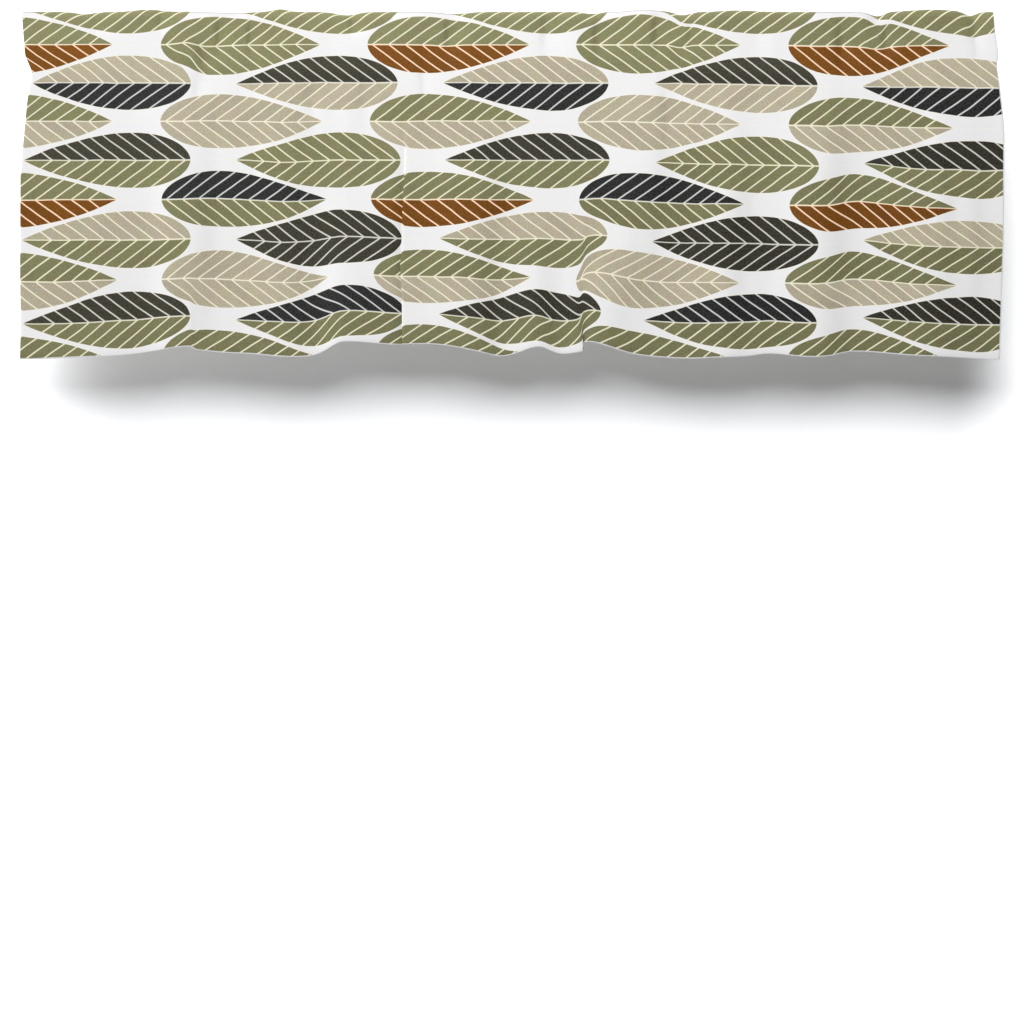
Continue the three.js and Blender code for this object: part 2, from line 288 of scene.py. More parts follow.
# ---- The hung cloth ----
def cloth_point(s, t):
    """Middle surface of one layer, as x, y and z in mm."""
    length = np.abs(t)
    back = t < 0
    turn = np.minimum(length / CREST_RADIUS, math.pi / 2)
    drop = CREST_RADIUS * (1 - np.cos(turn)) + np.maximum(length - QUARTER_TURN, 0)
    closing = ramp(length, QUARTER_TURN, SEAM)
    sewn = soft_ramp(length, QUARTER_TURN, SEAM) * back
    facing = np.maximum(ramp(t, -QUARTER_TURN, QUARTER_TURN), sewn)
    hung_x = s * EASE
    seam_space = SEAM_SPACE + (SIDE_SEAM_SPACE - SEAM_SPACE) * soft_ramp(
        np.abs(s), HALF_WIDTH - 2.5 * SIDE_HEM, HALF_WIDTH - SIDE_HEM
    )
    round_y = np.sin(turn) * np.where(back, CREST_RADIUS, -CREST_RADIUS)
    seam_y = -HANG + np.where(back, seam_space, 0)
    x = hung_x.copy()
    y = round_y * (1 - closing) + seam_y * closing
    z = -drop

    for fold in FOLD_ROWS:
        formed = ramp(drop, fold["top"], fold["full"])
        across = hung_x - fold["x"] - fold["lean"] * (1 - drop / DROP)
        shape = bell(across / np.where(across < 0, fold["left"], fold["right"]))
        y = y - fold["depth"] * formed * formed * (3 - 2 * formed) * shape
        z = z + fold["lift"] * formed * formed * shape
    for lap in LAP_ROWS:
        formed = ramp(drop, lap["top"], lap["full"])
        soft = formed * formed * (3 - 2 * formed)
        across = hung_x - lap["x"]
        turned = np.tanh(across / lap["width"]) * bell(across / lap["reach"])
        covered = 1 - np.sign(lap["step"]) * np.tanh(across / lap["width"] / STEP_SPREAD)
        x = x - lap["tuck"] * soft * turned
        y = y + abs(lap["step"]) / 2 * soft * covered * bell(across / lap["slope"])
        z = z + lap["rise"] / 2 * formed * formed * turned
    for pucker in PUCKER_ROWS:
        shape = bell((hung_x - pucker["x"]) / pucker["wide"])
        shape = shape * bell((drop - pucker["drop"]) / pucker["tall"])
        x = x + pucker["sway"] * shape
        z = z - pucker["dip"] * shape
        y = y + pucker["dent"] * shape * facing
    for crease in CREASE_ROWS:
        across = hung_x - crease["x"]
        shape = bell(across / np.where(across < 0, crease["left"], crease["right"]))
        shape = shape * bell((drop - crease["drop"]) / crease["tall"])
        y = y + crease["dent"] * shape * facing
    for place, level, wide, tall, depth in RIPPLE_ROWS:
        y = y - depth * bell((hung_x - place) / wide) * bell((drop - level) / tall)

    sag = BOW - SAG * soft_ramp(hung_x, SAG_FROM, HUNG_HALF)
    z = z + sag * np.sin(math.pi * np.clip(drop / DROP, 0, 1))
    left = np.interp(drop, LEFT_EDGE_DROPS, LEFT_EDGE_INSETS)
    right = np.interp(drop, RIGHT_EDGE_DROPS, RIGHT_EDGE_INSETS)
    x = x + left * np.exp(-(hung_x + HUNG_HALF) / EDGE_REACH)
    x = x - right * np.exp(-(HUNG_HALF - hung_x) / EDGE_REACH)
    return np.stack([x, y, z], -1)


def cloth_normal(s, t):
    """Unit normal towards the printed side: away from the pocket on both of its layers."""
    along = cloth_point(s + NORMAL_STEP, t) - cloth_point(s - NORMAL_STEP, t)
    up = cloth_point(s, t - NORMAL_STEP) - cloth_point(s, t + NORMAL_STEP)
    normal = np.cross(along, up)
    return normal / np.linalg.norm(normal, axis=-1, keepdims=True)


# ---- Hems: the flat sheet goes on past the fold, round to the back, and under itself ----
def hem_lengths(height):
    """Lengths of cloth in a hem of that height: fold, band, second fold, tucked edge."""
    return [math.pi * HEM_TURN, height - HEM_TURN, math.pi * HEM_TURN / 2, TUCKED_UNDER]


def hem_path(beyond, height):
    """For cloth that far past the fold's start: how far out it lies, and how far behind."""
    first, band, second, _ = hem_lengths(height)
    small = HEM_TURN / 2
    a = np.clip(beyond / HEM_TURN, 0, math.pi)
    out = HEM_TURN * np.sin(a) - np.clip(beyond - first, 0, band)
    behind = HEM_TURN * (1 - np.cos(a))
    b = np.clip((beyond - first - band) / small, 0, math.pi)
    out = out - small * np.sin(b) + np.maximum(beyond - first - band - second, 0)
    behind = behind - small * (1 - np.cos(b))
    return np.where(beyond > 0, out, beyond), np.where(beyond > 0, behind, 0)


def sheet_place(a, b):
    """Where cloth (a, b), hems included, lies over the hung sheet: s, t and the space behind."""
    out_s, behind_s = hem_path(np.abs(a) - (HALF_WIDTH - HEM_TURN), SIDE_HEM)
    out_t, behind_t = hem_path(b - (HEM - HEM_TURN), BOTTOM_HEM)
    s = np.sign(a) * (HALF_WIDTH - HEM_TURN + out_s)
    t = HEM - HEM_TURN + out_t
    return s, t, behind_s + behind_t


def sheet_point(a, b, outwards=0.0):
    """The hung place of cloth (a, b). outwards is towards the printed side of the main layer."""
    s, t, behind = sheet_place(a, b)
    return cloth_point(s, t) + cloth_normal(s, t) * (outwards - behind)[..., None]


def hem_stations(start, height):
    """Stations past the start of a hem's fold."""
    stations = []
    at = start
    for length, steps in zip(hem_lengths(height), HEM_STEPS):
        stations += [at + length * (i + 1) / steps for i in range(steps)]
        at += length
    return stations


def even(start, end, step):
    """Even stations from start to end, both kept."""
    count = max(1, round(abs(end - start) / step))
    return list(np.linspace(start, end, count + 1))


def column_step(s):
    """How far it is to the next column of stations: less far in laps and creases."""
    step = COLUMN_STEP
    x = s * EASE
    for crease in CREASE_ROWS:
        if abs(x - crease["x"]) < CREASE_CLEARING * crease["left"]:
            step = min(step, crease["left"] / CREASE_STEPS)
    for lap in LAP_ROWS:
        if lap["width"] < COLUMN_STEP and abs(x - lap["x"]) < LAP_CLEARING:
            step = LAP_STEP
    return step


def column_stations():
    edge = HALF_WIDTH - HEM_TURN
    stations = [-edge]
    while stations[-1] < edge:
        stations.append(stations[-1] + column_step(stations[-1]))
    stations = stations[:-1] + [edge]
    hem = hem_stations(edge, SIDE_HEM)
    return np.array([-s for s in reversed(hem)] + stations + hem)


def row_stations():
    fold = HEM - HEM_TURN
    stations = even(-SEAM - SEAM_MARGIN, -SEAM, SEAM_MARGIN / 2)[:-1]
    stations += even(-SEAM, -QUARTER_TURN, POCKET_STEP)[:-1]
    stations += list(np.linspace(-QUARTER_TURN, QUARTER_TURN, TURN_STEPS + 1))[:-1]
    stations += even(QUARTER_TURN, fold, ROW_STEP)
    return np.array(stations + hem_stations(fold, BOTTOM_HEM))


def sheet_surfaces(columns, rows):
    """The printed and the plain surface, as two grids of points, rows by columns."""
    a, b = np.meshgrid(columns, rows)
    middle = sheet_point(a, b)
    along = np.gradient(middle, axis=1)
    down = np.gradient(middle, axis=0)
    normal = np.cross(down, along)
    normal /= np.maximum(np.linalg.norm(normal, axis=-1, keepdims=True), 1e-9)
    return middle + normal * THICKNESS / 2, middle - normal * THICKNESS / 2, a, b


# ---- Mesh building ----
# Where the two sides of the cloth lie in the bake map: left, width, top and height.
BAKE_FRONT = (0.01, 0.98, 0.99, 0.52)
BAKE_BEHIND = (0.01, 0.98, 0.44, 0.42)
STITCH_MARGIN = 0.1  # round each stitch, in its own square of the bake map


def mesh_object(name, points, faces, materials, face_materials=None):
    mesh = bpy.data.meshes.new(name)
    mesh.from_pydata(np.asarray(points) * MM, [], faces)
    for material in materials:
        mesh.materials.append(material)
    if face_materials is not None:
        mesh.polygons.foreach_set("material_index", face_materials)
    mesh.shade_smooth()
    mesh.update()
    obj = bpy.data.objects.new(name, mesh)
    bpy.context.scene.collection.objects.link(obj)
    return obj


def cloth_sheet(materials):
    """The whole cloth as one closed shell: printed side, plain side and the cut edges."""
    columns, rows = column_stations(), row_stations()
    printed, plain, a, b = sheet_surfaces(columns, rows)
    height, width = a.shape
    count = height * width
    index = np.arange(count).reshape(height, width)
    quads = np.stack([index[:-1, :-1], index[1:, :-1], index[1:, 1:], index[:-1, 1:]], -1)
    quads = quads.reshape(-1, 4)
    ring = np.concatenate([index[0, :-1], index[:-1, -1], index[-1, :0:-1], index[:0:-1, 0]])
    after = np.roll(ring, -1)
    rim = np.stack([ring, after, after + count, ring + count], -1)
    faces = np.concatenate([quads, quads[:, ::-1] + count, rim])
    which = np.concatenate([np.zeros(len(quads)), np.ones(len(quads) + len(rim))]).astype(int)
    points = np.concatenate([printed.reshape(-1, 3), plain.reshape(-1, 3)])
    sheet = mesh_object("printed_cloth_sheet", points, faces.tolist(), materials, which)
    corner = np.array([loop.vertex_index for loop in sheet.data.loops])
    cloth_map(sheet, "ClothFlat", np.stack([a.ravel(), b.ravel()], -1) * MM, corner % count)
    across = (a - columns[0]) / (columns[-1] - columns[0])
    downwards = (b - rows[0]) / (rows[-1] - rows[0])
    sides = [bake_places(across, downwards, *side) for side in (BAKE_FRONT, BAKE_BEHIND)]
    cloth_map(sheet, "OFBake", np.concatenate(sides), corner)
    return sheet


def bake_places(across, downwards, left, width, top, height):
    return np.stack([left + width * across, top - height * downwards], -1).reshape(-1, 2)


def cloth_map(obj, name, places, corner):
    layer = obj.data.uv_layers.new(name=name)
    layer.uv.foreach_set("vector", places[corner].astype(np.float32).ravel())


# ---- Stitches ----
def seam_lines():
    """Places (a, b) of the stitches in each seam, their way along the cloth, and their side."""
    edge = HALF_WIDTH - HEM_TURN
    fold = HEM - HEM_TURN
    below = fold + hem_lengths(BOTTOM_HEM)[0] + HEM_SEAM_SHARE * hem_lengths(BOTTOM_HEM)[1]
    beside = edge + hem_lengths(SIDE_HEM)[0] + HEM_SEAM_SHARE * hem_lengths(SIDE_HEM)[1]
    across = np.arange(-edge + STITCH_PITCH, edge - STITCH_PITCH, STITCH_PITCH)
    down = np.arange(SEAM + STITCH_PITCH, fold - BOTTOM_HEM - STITCH_PITCH, STITCH_PITCH)
    lines = [
        (across, np.full_like(across, -SEAM), (1.0, 0.0), 1),
        (across, np.full_like(across, below), (1.0, 0.0), -1),
    ]
    for way in (-1, 1):
        lines.append((np.full_like(down, way * beside), down, (0.0, 1.0), -1))
    return lines


def stitch_rings(a, b, run, side):
    """Points round each stitch: stitches by rings by sides by 3."""
    on_a, on_b = run[0] * RUN_STEP, run[1] * RUN_STEP
    rings = []
    for ring in rows_of(STITCH_COLUMNS, STITCH_RINGS):
        at_a = a + run[0] * ring["along"] * STITCH_LENGTH
        at_b = b + run[1] * ring["along"] * STITCH_LENGTH
        s, t, _ = sheet_place(at_a, at_b)
        out = cloth_normal(s, t)
        centre = sheet_point(at_a, at_b, side * (THICKNESS / 2 + ring["stand"]))
        ahead = sheet_point(at_a + on_a, at_b + on_b) - sheet_point(at_a, at_b)
        over = np.cross(out, ahead)
        over /= np.linalg.norm(over, axis=-1, keepdims=True)
        radius = THREAD_RADIUS * ring["share"]
        round_it = []
        for i in range(THREAD_SIDES):
            angle = 2 * math.pi * i / THREAD_SIDES
            round_it.append(centre + radius * (math.cos(angle) * out + math.sin(angle) * over))
        rings.append(np.stack(round_it, 1))
    return np.stack(rings, 1)


def stitching(material):
    """All the stitches as one mesh, each a short thread whose ends go into the cloth."""
    rings = np.concatenate([stitch_rings(*line) for line in seam_lines()])
    count, length, sides, _ = rings.shape
    index = np.arange(count * length * sides).reshape(count, length, sides)
    after = np.roll(index, -1, axis=2)
    faces = np.stack([index[:, :-1], index[:, 1:], after[:, 1:], after[:, :-1]], -1)
    thread = mesh_object(
        "thread_stitches", rings.reshape(-1, 3), faces.reshape(-1, 4).tolist(), [material]
    )
    which, along, around = np.meshgrid(
        np.arange(count), np.arange(length - 1), np.arange(sides), indexing="ij"
    )
    along = along[..., None] + np.array([0, 1, 1, 0])
    around = around[..., None] + np.array([0, 0, 1, 1])
    grid = math.ceil(math.sqrt(count))
    used = 1 - 2 * STITCH_MARGIN
    left = (which % grid)[..., None] + STITCH_MARGIN + used * along / (length - 1)
    low = (which // grid)[..., None] + STITCH_MARGIN + used * around / sides
    corners = np.arange(faces.size)
    twist = np.stack([along / (length - 1), around / sides], -1).reshape(-1, 2)
    cloth_map(thread, "ThreadTwist", twist, corners)
    cloth_map(thread, "OFBake", np.stack([left, low], -1).reshape(-1, 2) / grid, corners)
    return thread


# ---- Materials ----
class Nodes:
    """Adds nodes to one material and links them as it goes."""

    def __init__(self, material):
        self.tree = material.node_tree

    def add(self, kind, inputs, **settings):
        node = self.tree.nodes.new(kind)
        for name, value in settings.items():
            setattr(node, name, value)
        for socket, source in inputs.items():
            self.feed(node.inputs[socket], source)
        return node

    def feed(self, socket, source):
        if isinstance(source, bpy.types.NodeSocket):
            self.tree.links.new(source, socket)
        else:
            socket.default_value = source

    def math(self, operation, *values, clamp=False):
        inputs = dict(enumerate(values))
        node = self.add("ShaderNodeMath", inputs, operation=operation, use_clamp=clamp)
        return node.outputs[0]

    def mix(self, factor, a, b, blend="MIX"):
        inputs = {"Factor": factor, 6: a, 7: b}
        node = self.add("ShaderNodeMix", inputs, data_type="RGBA", blend_type=blend)
        return node.outputs[2]

    def smooth_range(self, value, start, end, reached):
        """0 up to start, and from there smoothly to what is reached at the end."""
        inputs = {"Value": value, 1: start, 2: end, 3: 0.0, 4: reached}
        node = self.add("ShaderNodeMapRange", inputs, interpolation_type="SMOOTHSTEP")
        return node.outputs[0]

    def soft_step(self, distance, softness):
        """1 where distance is well above 0, 0 where it is well below."""
        return self.math("MULTIPLY_ADD", distance, 1 / softness, 0.5, clamp=True)


def srgb(red, green, blue, scale=1.0):
    """A colour given in display values, 0 to 255, as a linear one."""
    linear = []
    for value in (red, green, blue):
        v = value / 255
        linear.append(scale * (v / 12.92 if v <= 0.04045 else ((v + 0.055) / 1.055) ** 2.4))
    return (*linear, 1.0)


# ---- The print ----
# Rows of leaves lie along the cloth, every other row turned round and set half a leaf along. Sizes
# are in metres of flat cloth. Three numbers together are where a smooth change starts, where it
# ends, and what it reaches there.
ROW_PITCH = 0.05225
FIRST_ROW = -0.0005
LEAF_PITCH = 0.2805
LEAF_LENGTH = 0.2215
SHORTER_BY = 0.0045  # leaves that point right, in the upper half of the repeat
LEAF_HALF = 0.0372
FIRST_FULLER = 0.05  # share by which the first whole row of leaves is fuller
ODD_START = -0.1902  # blunt end of a leaf that points right
EVEN_START = -0.1504  # blunt end of a leaf that points left
BLUNT_POWER = 0.55  # how fast a leaf widens from its blunt end
POINT_POWER = 0.98  # how fast it narrows to its point
VEIN_PITCH = 0.0220
VEIN_ROOT = 0.0066
LAST_VEIN = 8
VEIN_RUN = 1.33  # how far a vein runs along for each unit across
VEIN_WIDTH = 0.0018
MIDRIB_WIDTH = 0.0020
MIDRIB_TAPER = 0.0007
PRINT_SOFTNESS = 0.0005
PALE_BORDER = (-0.0024, -0.0004, 0.55)  # round each leaf, where the paler dye shows past it
TIP_SOFTNESS = 4 * PRINT_SOFTNESS  # how that border fades out beyond the leaf's two ends
EDGE_PAINTED_HIGHLIGHT = 0.0012  # painted highlight: along the right side's and the hem's folds the print gives way to the pale ground
TOP_EDGE_PAINTED_SHADE = (  # painted shade: the pale ground is darker towards the top edge, and most along it
    (0.0160, 0.0085, -0.15),
    (0.0080, 0.0050, -0.33),
)

DYE_SCALE = 0.87  # from the colours as they look in the light to the dye's own
LEAF_COLOURS = {
    "olive": srgb(128, 127, 91, DYE_SCALE),
    "tan": srgb(186, 177, 153, DYE_SCALE),
    "charcoal": srgb(59, 57, 46, DYE_SCALE),
    "black": srgb(41, 42, 41, DYE_SCALE),
    "rust": srgb(119, 72, 14, DYE_SCALE),
}
GROUND = srgb(246, 245, 246, DYE_SCALE)
VEIN = srgb(253, 249, 233, DYE_SCALE)
DARK_VEIN = srgb(233, 233, 232, DYE_SCALE)  # between the darkest dyes
DYE_UNEVENNESS = 0.22
UNEVEN_SCALE = 75.0  # for each metre
STRIP_RANGE = 0.16  # in brightness, from one strip between veins to another
ROW_NUMBERS = 17  # set aside for the leaves of each row
VEIN_STAIN = 0.13  # share of the leaf's dye in its veins
VEIN_TINT = 0.24  # how much a vein takes on the leaf's hue
DARK_DYE = (0.070, 0.045, 1.0)  # the darkest dyes, by brightness, behave unlike the rest
DARK_PAINTED_SHEEN_FADE = (0.080, 0.160, -0.36)  # painted sheen that fades: the darkest dyes deepen for each metre to the right, below the pocket
DARK_POCKET_PAINTED_SHEEN = (0.098, 0.080, 0.32)  # painted sheen: the darkest dyes are paler on the pocket
# Painted sheen: all but the palest dye is painted paler towards the top left and deeper towards the
# right and down: the brightness below which it is painted, the change for each metre to the right
# and down, and the change at the middle of the top.
PAINTED_SHEEN_DYES = (0.34, 0.24, 1.0)
SHEEN_FADES_RIGHT, SHEEN_FADES_DOWN, SHEEN_AT_TOP_MIDDLE = -0.12, -0.43, 0.12
GRAIN_SCALE = 480.0  # for each metre: threads that took the dye unevenly
GRAIN = 0.50
SPECKS = 0.09  # bare thread that shows between, the same on light and dark dyes
POCKET_PAINTED_LIGHT = (0.110, 0.050, 0.07)  # painted light: how much paler the leaves are on the pocket
THREAD = srgb(226, 222, 208, DYE_SCALE)
THREAD_TURNS = 4.0  # in the length of one stitch
# Painted shade: how much darker the thread is in the grooves of its twist.
TWIST_GROOVE_SHADE = 0.10
TWIST_DEPTH = 0.00004

# The print is drawn out towards the side edges.
RIGHT_DRAW = (0.540, 0.650, 0.0115)
LEFT_DRAW = (-0.560, -0.655, -0.0068)
LOW_RIGHT_DRAW = (0.600, 0.660, -0.0028)  # only in the lower half of the cloth
LOW_FROM, LOW_TO = 0.200, 0.290
DRIFT_SCALE = 20.0  # for each metre: the print wanders a little over the cloth
DRIFT = 0.0030

# The weave and the plain side.
THREAD_SPACING = 0.0011  # from one thread to the next but one
SLUB_SCALES = (60.0, 1400.0)  # for each metre, along a slub and across it
SLUB_HEIGHT = 0.8  # beside the weave's own
SLUB_TONE = 0.12  # range in brightness
WEAVE_DEPTH = 0.00012
SHOWS_THROUGH = 0.24  # share of the print's colour that shows on the plain side
PLAIN_SIDE = srgb(232, 230, 224, DYE_SCALE)

# Upper and lower half of the two leaves that take turns along each row. It repeats every 8 rows.
PRINT_REPEAT = 8
LEAVES = (
    # first leaf, then second leaf
    ("charcoal", "olive", "black", "olive"),
    ("olive", "rust", "olive", "olive"),
    ("tan", "black", "charcoal", "tan"),
    ("olive", "tan", "tan", "tan"),
    ("charcoal", "olive", "olive", "olive"),
    ("olive", "rust", "black", "olive"),
    ("tan", "olive", "charcoal", "charcoal"),
    ("olive", "tan", "tan", "tan"),
)


def leaf_chart(nodes, row, second, side):
    """Colour of a half leaf. row counts down the cloth, second is 1 for a row's second leaf."""
    place = nodes.math("FLOORED_MODULO", row, PRINT_REPEAT)
    place = nodes.math("MULTIPLY_ADD", second, PRINT_REPEAT, place)
    place = nodes.math("MULTIPLY_ADD", place, 0.5 / PRINT_REPEAT, 0.25 / PRINT_REPEAT)
    ramp_node = nodes.add("ShaderNodeValToRGB", {"Fac": place})
    stops = ramp_node.color_ramp
    stops.interpolation = "CONSTANT"
    chart = [row_leaves[side + 2 * leaf] for leaf in (0, 1) for row_leaves in LEAVES]
    while len(stops.elements) < len(chart):
        stops.elements.new(0.5)
    for i, name in enumerate(chart):
        stops.elements[i].position = i / len(chart)
        stops.elements[i].color = LEAF_COLOURS[name]
    return ramp_node.outputs["Color"]


def leaf_place(nodes, s, t, side):
    """Row and number of the leaf whose upper (side 0) or lower (side 1) half may lie here, whether
    its row is odd, and how far from its blunt end and from its midrib this place is."""
    rows = nodes.math("MULTIPLY_ADD", t, 1 / ROW_PITCH, -FIRST_ROW / ROW_PITCH)
    row = nodes.math("FLOOR", rows)
    if side == 0:
        row = nodes.math("ADD", row, 1)
    away = nodes.math("ABSOLUTE", nodes.math("SUBTRACT", rows, row))
    away = nodes.math("MULTIPLY", away, ROW_PITCH)
    odd = nodes.math("FLOORED_MODULO", row, 2)
    start = nodes.math("MULTIPLY_ADD", odd, ODD_START - EVEN_START, EVEN_START)
    heading = nodes.math("MULTIPLY_ADD", odd, 2, -1)
    along = nodes.math("MULTIPLY", nodes.math("SUBTRACT", s, start), heading)
    leaves = nodes.math("MULTIPLY", along, 1 / LEAF_PITCH)
    leaf = nodes.math("FLOOR", leaves)
    along = nodes.math("MULTIPLY", nodes.math("SUBTRACT", leaves, leaf), LEAF_PITCH)
    return row, leaf, odd, along, away


def leaf_outline(nodes, row, odd, along):
    """How much of the leaf's length lies behind this place, and the leaf's half width here."""
    place = nodes.math("FLOORED_MODULO", row, PRINT_REPEAT)
    early = nodes.math("LESS_THAN", place, PRINT_REPEAT / 2)
    shorter = nodes.math("MULTIPLY", odd, early)
    length = nodes.math("MULTIPLY_ADD", shorter, -SHORTER_BY, LEAF_LENGTH)
    u = nodes.math("DIVIDE", along, length, clamp=True)
    rest = nodes.math("POWER", nodes.math("SUBTRACT", 1, u, clamp=True), POINT_POWER)
    fullest = BLUNT_POWER / (BLUNT_POWER + POINT_POWER)
    peak = fullest ** BLUNT_POWER * (1 - fullest) ** POINT_POWER
    outline = nodes.math("MULTIPLY", nodes.math("POWER", u, BLUNT_POWER), rest)
    outline = nodes.math("MULTIPLY", outline, LEAF_HALF / peak)
    first = nodes.math("COMPARE", row, 1, 0.5)
    fuller = nodes.math("MULTIPLY_ADD", first, FIRST_FULLER, 1)
    return u, nodes.math("MULTIPLY", outline, fuller)


def leaf_veins(nodes, u, along, away):
    """Cover of the veins and the midrib here, and the number of the strip between two veins."""
    veins = nodes.math("MULTIPLY_ADD", away, -VEIN_RUN, along)
    veins = nodes.math("MULTIPLY_ADD", veins, 1 / VEIN_PITCH, -VEIN_ROOT / VEIN_PITCH)
    nearest = nodes.math("ROUND", veins)
    nearest = nodes.math("MINIMUM", nodes.math("MAXIMUM", nearest, 0), LAST_VEIN)
    off_vein = nodes.math("ABSOLUTE", nodes.math("SUBTRACT", veins, nearest))
    across = VEIN_PITCH / math.hypot(1, VEIN_RUN)
    vein = nodes.math("MULTIPLY_ADD", off_vein, -across, VEIN_WIDTH / 2)
    midrib = nodes.math("MULTIPLY_ADD", u, -MIDRIB_TAPER / 2, MIDRIB_WIDTH / 2)
    midrib = nodes.math("SUBTRACT", midrib, away)
    line = nodes.soft_step(nodes.math("MAXIMUM", vein, midrib), PRINT_SOFTNESS)
    return line, nodes.math("FLOOR", veins)


def dye_and_painted_light(nodes, s, t, key, brightness, dark, threads):
    """What a leaf's dye is multiplied by here, above 1 where paler: its own unevenness, painted
    light and painted sheen.
    """
    strip = nodes.add("ShaderNodeTexWhiteNoise", {"Vector": key}).outputs["Value"]
    shade = nodes.math("MULTIPLY_ADD", strip, STRIP_RANGE, 1 - STRIP_RANGE / 2)
    # Painted light: the leaves are paler on the pocket.
    shade = nodes.math("ADD", shade, nodes.smooth_range(t, *POCKET_PAINTED_LIGHT))
    # Painted sheen on the darkest dyes: paler on the pocket, deeper to the right below it.
    painted_sheen = nodes.math("MULTIPLY", s, nodes.smooth_range(t, *DARK_PAINTED_SHEEN_FADE))
    painted_sheen = nodes.math("ADD", painted_sheen, nodes.smooth_range(t, *DARK_POCKET_PAINTED_SHEEN))
    shade = nodes.math("MULTIPLY_ADD", painted_sheen, dark, shade)
    # Painted sheen on all but the palest dyes: paler towards the top left, deeper towards the right
    # and down.
    painted_sheen = nodes.math("MULTIPLY_ADD", s, SHEEN_FADES_RIGHT, SHEEN_AT_TOP_MIDDLE)
    painted_sheen = nodes.math("MULTIPLY_ADD", t, SHEEN_FADES_DOWN, painted_sheen)
    sheen_share = nodes.smooth_range(brightness, *PAINTED_SHEEN_DYES)
    shade = nodes.math("MULTIPLY_ADD", painted_sheen, sheen_share, shade)
    return nodes.math("MULTIPLY_ADD", threads, GRAIN, shade)


def half_leaf(nodes, s, t, side, uneven, threads):
    """Cover, colour and pale border of the upper (side 0) or lower (side 1) half leaf here."""
    row, leaf, odd, along, away = leaf_place(nodes, s, t, side)
    u, outline = leaf_outline(nodes, row, odd, along)
    inside = nodes.math("SUBTRACT", nodes.math("SUBTRACT", outline, away), PRINT_SOFTNESS / 2)
    cover = nodes.soft_step(inside, PRINT_SOFTNESS)
    line, strip = leaf_veins(nodes, u, along, away)

    second = nodes.math("FLOORED_MODULO", nodes.math("ADD", nodes.math("ADD", leaf, row), 1), 2)
    dye = leaf_chart(nodes, row, second, side)
    brightness = nodes.add("ShaderNodeRGBToBW", {"Color": dye}).outputs[0]
    dark = nodes.smooth_range(brightness, *DARK_DYE)
    number = nodes.math("MULTIPLY_ADD", row, ROW_NUMBERS, leaf)
    key = nodes.add("ShaderNodeCombineXYZ", {"X": strip, "Y": number, "Z": side}).outputs[0]
    # The dye's own unevenness, with painted light and painted sheen.
    shade = dye_and_painted_light(nodes, s, t, key, brightness, dark, threads)
    colour = nodes.mix(1.0, dye, grey(nodes, shade), "MULTIPLY")
    colour = nodes.mix(DYE_UNEVENNESS, colour, uneven, "SOFT_LIGHT")
    colour = nodes.mix(SPECKS, colour, grey(nodes, threads), "ADD")
    veins = vein_colour(nodes, dye, brightness, dark)
    border = nodes.smooth_range(inside, *PALE_BORDER)
    border = nodes.math("MULTIPLY", border, nodes.soft_step(outline, TIP_SOFTNESS))
    return cover, nodes.mix(line, colour, veins), border


def vein_colour(nodes, dye, brightness, dark):
    """The pale dye of the veins, tinted and stained by the leaf's own."""
    hue = nodes.mix(1.0, dye, grey(nodes, brightness), "DIVIDE")
    tinted = nodes.mix(VEIN_TINT, nodes.mix(dark, VEIN, DARK_VEIN), hue, "MULTIPLY")
    return nodes.mix(VEIN_STAIN, tinted, dye)


def grey(nodes, value):
    return nodes.add("ShaderNodeCombineColor", {0: value, 1: value, 2: value}).outputs[0]


def printed_colour(nodes, flat, s, t):
    """The whole print at flat place s, t, with dye that took unevenly and painted shade towards the
    top edge.
    """
    uneven = nodes.add(
        "ShaderNodeTexNoise",
        {"Vector": flat, "Scale": UNEVEN_SCALE, "Detail": 5.0, "Roughness": 0.62},
    )
    threads = nodes.add("ShaderNodeTexNoise", {"Vector": flat, "Scale": GRAIN_SCALE, "Detail": 2.0})
    threads = nodes.math("SUBTRACT", threads.outputs["Fac"], 0.5)
    halves = [half_leaf(nodes, s, t, side, uneven.outputs["Color"], threads) for side in (0, 1)]
    (upper_cover, upper, upper_border), (lower_cover, lower, lower_border) = halves
    leaf = nodes.mix(lower_cover, upper, lower)
    ground = nodes.mix(nodes.math("MAXIMUM", upper_border, lower_border), GROUND, VEIN)
    # Painted shade: the pale ground is darkened towards the top edge, and most along it.
    tone = 1.0
    for top_shade in TOP_EDGE_PAINTED_SHADE:
        tone = nodes.math("ADD", nodes.smooth_range(nodes.math("ABSOLUTE", t), *top_shade), tone)
    ground = nodes.mix(1.0, ground, grey(nodes, tone), "MULTIPLY")
    return nodes.mix(nodes.math("MAXIMUM", upper_cover, lower_cover), ground, leaf)


